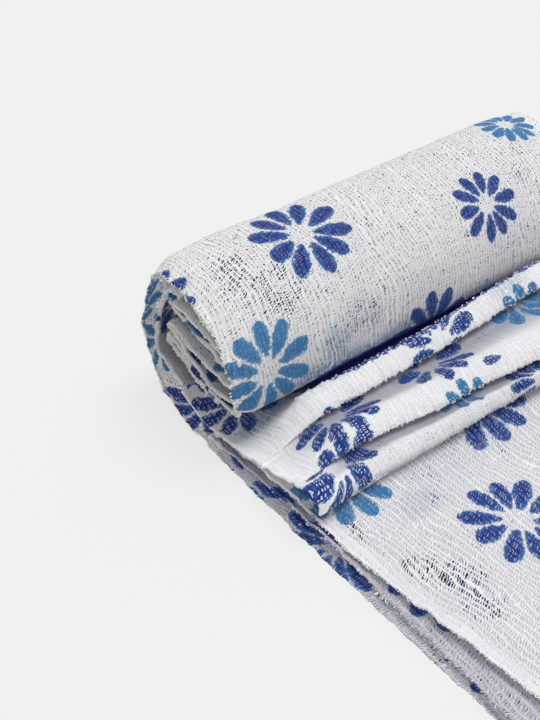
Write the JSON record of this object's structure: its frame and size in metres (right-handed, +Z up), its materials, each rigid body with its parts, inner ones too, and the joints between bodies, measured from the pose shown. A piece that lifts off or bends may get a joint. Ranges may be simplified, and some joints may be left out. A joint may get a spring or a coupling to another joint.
{
  "type": "exfoliating towel",
  "caption": "Long knitted wash towel, rolled up at one end and lying in flat folded layers with pleats in front of the roll.",
  "frame": {"origin": "under the middle of the towel's box, on the surface that it lies on", "axes": "+X along the roll, which is the width of the cloth; +Y from the front of the flat layers to the back of the roll; +Z up"},
  "size_m": [0.28, 0.31, 0.1063],
  "materials": {
    "knit": "matte"
  },
  "bodies": {
    "root": {"towel": "knit"}
  },
  "joints": []
}
